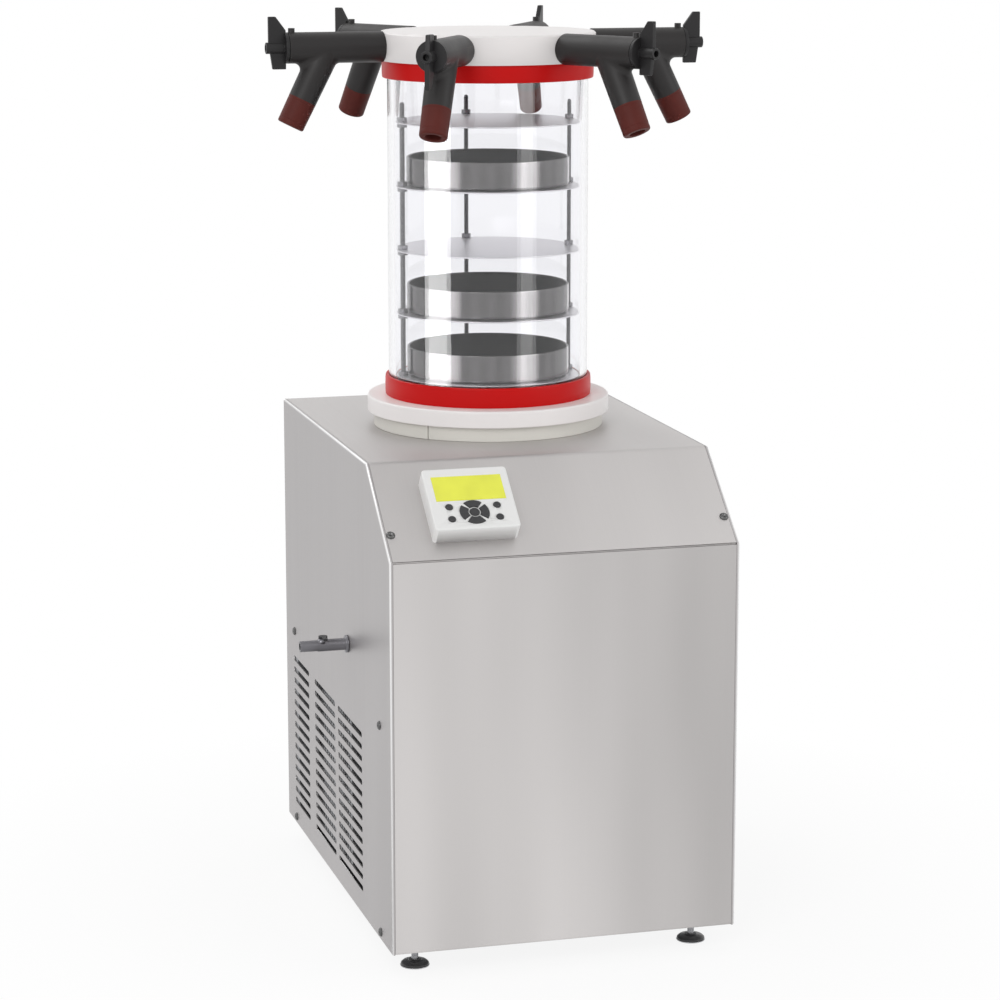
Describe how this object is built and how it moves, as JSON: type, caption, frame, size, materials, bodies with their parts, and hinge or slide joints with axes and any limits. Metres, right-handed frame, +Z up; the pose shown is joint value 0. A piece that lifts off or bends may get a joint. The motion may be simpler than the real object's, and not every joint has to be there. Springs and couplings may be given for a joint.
{
  "type": "laboratory freeze dryer",
  "caption": "Floor-standing laboratory freeze dryer with a sloped control panel, clear drying chamber with shelves and trays, and a valve manifold lid.",
  "frame": {"origin": "on the floor, under the middle of the machine", "axes": "+Z up, -Y towards the front panel and controller, +X to the operator's right"},
  "size_m": [0.523, 0.568, 1.0405],
  "materials": {
    "cabinet_steel": "satin brushed stainless sheet",
    "frame_steel": "zinc-grey coated sheet",
    "screw_steel": "blackened",
    "foot_plastic": "moulded",
    "bright_steel": "plain stainless",
    "black_plastic": "moulded, satin",
    "plug_plastic": "moulded, satin",
    "sleeve_rubber": "matt red-brown",
    "controller_white": "moulded, satin white",
    "display_yellow": "lit display window",
    "key_rubber": "soft-touch",
    "white_plastic": "machined white polymer",
    "red_rubber": "moulded silicone",
    "clear_acrylic": "polished clear acrylic",
    "tray_steel": "spun stainless",
    "black_foam": "closed-cell insulation over the coil",
    "compressor_paint": "gloss black",
    "fin_aluminium": "fins",
    "fan_plastic": "moulded",
    "rocker_black": "moulded"
  },
  "bodies": {
    "root": {"air_condenser": "fin_aluminium", "base_disc": "white_plastic", "chamber_tube": "clear_acrylic", "chassis_tray": "frame_steel", "compressor": "compressor_paint", "condenser_pot": "tray_steel", "controller_housing": "controller_white", "cooling_jacket": "black_foam", "display_window": "display_yellow", "drain_nozzle": "bright_steel", "drain_pipe": "bright_steel", "flange_trim_ring": "white_plastic", "frame_uprights": "frame_steel", "front_panel": "cabinet_steel", "hood": "cabinet_steel", "left_side_panel": "cabinet_steel", "levelling_feet": "foot_plastic", "lower_seal": "red_rubber", "manifold_lid": "white_plastic", "outlet_sleeve_1": "sleeve_rubber", "outlet_sleeve_2": "sleeve_rubber", "outlet_sleeve_3": "sleeve_rubber", "outlet_sleeve_4": "sleeve_rubber", "outlet_sleeve_5": "sleeve_rubber", "outlet_sleeve_6": "sleeve_rubber", "panel_screws": "screw_steel", "power_inlet": "black_plastic", "rack_nuts": "bright_steel", "rack_rods": "bright_steel", "rear_panel": "cabinet_steel", "right_side_panel": "cabinet_steel", "sample_tray_1": "tray_steel", "sample_tray_2": "tray_steel", "sample_tray_3": "tray_steel", "shelf_plates": "bright_steel", "upper_seal": "red_rubber", "valve_body_1": "black_plastic", "valve_body_2": "black_plastic", "valve_body_3": "black_plastic", "valve_body_4": "black_plastic", "valve_body_5": "black_plastic", "valve_body_6": "black_plastic"},
    "plug_1": {"valve_plug_1": "plug_plastic"},
    "plug_2": {"valve_plug_2": "plug_plastic"},
    "plug_3": {"valve_plug_3": "plug_plastic"},
    "plug_4": {"valve_plug_4": "plug_plastic"},
    "plug_5": {"valve_plug_5": "plug_plastic"},
    "plug_6": {"valve_plug_6": "plug_plastic"},
    "round_key_1": {"round_key_1": "key_rubber"},
    "round_key_2": {"round_key_2": "key_rubber"},
    "round_key_3": {"round_key_3": "key_rubber"},
    "round_key_4": {"round_key_4": "key_rubber"},
    "arc_key_1": {"arc_key_1": "key_rubber"},
    "arc_key_2": {"arc_key_2": "key_rubber"},
    "arc_key_3": {"arc_key_3": "key_rubber"},
    "arc_key_4": {"arc_key_4": "key_rubber"},
    "centre_key": {"centre_key": "key_rubber"},
    "drain_lever": {"drain_cock_lever": "black_plastic"},
    "fan": {"fan_rotor": "fan_plastic"},
    "rocker": {"rocker_switch": "rocker_black"}
  },
  "joints": [
    {"name": "valve_1_turn", "type": "hinge", "parent": "root", "child": "plug_1", "pos_m": [-0.24, 0.05, 1.005], "axis": [1, 0, 0], "range_deg": [0, 180]},
    {"name": "valve_2_turn", "type": "hinge", "parent": "root", "child": "plug_2", "pos_m": [-0.12, -0.15785, 1.005], "axis": [0.5, 0.866, 0], "range_deg": [-180, 0]},
    {"name": "valve_3_turn", "type": "hinge", "parent": "root", "child": "plug_3", "pos_m": [0.12, -0.15785, 1.005], "axis": [-0.5, 0.866, 0], "range_deg": [0, 180]},
    {"name": "valve_4_turn", "type": "hinge", "parent": "root", "child": "plug_4", "pos_m": [0.24, 0.05, 1.005], "axis": [-1, 0, 0], "range_deg": [0, 180]},
    {"name": "valve_5_turn", "type": "hinge", "parent": "root", "child": "plug_5", "pos_m": [0.12, 0.25785, 1.005], "axis": [-0.5, -0.866, 0], "range_deg": [0, 180]},
    {"name": "valve_6_turn", "type": "hinge", "parent": "root", "child": "plug_6", "pos_m": [-0.12, 0.25785, 1.005], "axis": [0.5, -0.866, 0], "range_deg": [0, 180]},
    {"name": "round_key_1_press", "type": "slide", "parent": "root", "child": "round_key_1", "axis": [0, 0.6264, -0.7795], "range_m": [0, 0.0008], "stiffness_N_per_m": 400},
    {"name": "round_key_2_press", "type": "slide", "parent": "root", "child": "round_key_2", "axis": [0, 0.6264, -0.7795], "range_m": [0, 0.0008], "stiffness_N_per_m": 400},
    {"name": "round_key_3_press", "type": "slide", "parent": "root", "child": "round_key_3", "axis": [0, 0.6264, -0.7795], "range_m": [0, 0.0008], "stiffness_N_per_m": 400},
    {"name": "round_key_4_press", "type": "slide", "parent": "root", "child": "round_key_4", "axis": [0, 0.6264, -0.7795], "range_m": [0, 0.0008], "stiffness_N_per_m": 400},
    {"name": "arc_key_1_press", "type": "slide", "parent": "root", "child": "arc_key_1", "axis": [0, 0.6264, -0.7795], "range_m": [0, 0.0008], "stiffness_N_per_m": 400},
    {"name": "arc_key_2_press", "type": "slide", "parent": "root", "child": "arc_key_2", "axis": [0, 0.6264, -0.7795], "range_m": [0, 0.0008], "stiffness_N_per_m": 400},
    {"name": "arc_key_3_press", "type": "slide", "parent": "root", "child": "arc_key_3", "axis": [0, 0.6264, -0.7795], "range_m": [0, 0.0008], "stiffness_N_per_m": 400},
    {"name": "arc_key_4_press", "type": "slide", "parent": "root", "child": "arc_key_4", "axis": [0, 0.6264, -0.7795], "range_m": [0, 0.0008], "stiffness_N_per_m": 400},
    {"name": "centre_key_press", "type": "slide", "parent": "root", "child": "centre_key", "axis": [0, 0.6264, -0.7795], "range_m": [0, 0.0008], "stiffness_N_per_m": 400},
    {"name": "drain_cock_turn", "type": "hinge", "parent": "root", "child": "drain_lever", "pos_m": [-0.229, -0.072, 0.342], "axis": [0, 0, 1], "range_deg": [0, 90]},
    {"name": "fan_spin", "type": "hinge", "parent": "root", "child": "fan", "pos_m": [-0.1445, 0.045, 0.1403], "axis": [1, 0, 0], "continuous": true},
    {"name": "power_rocker", "type": "hinge", "parent": "root", "child": "rocker", "pos_m": [0.12, 0.281, 0.112], "axis": [-1, 0, 0], "range_deg": [0, 16]}
  ]
}
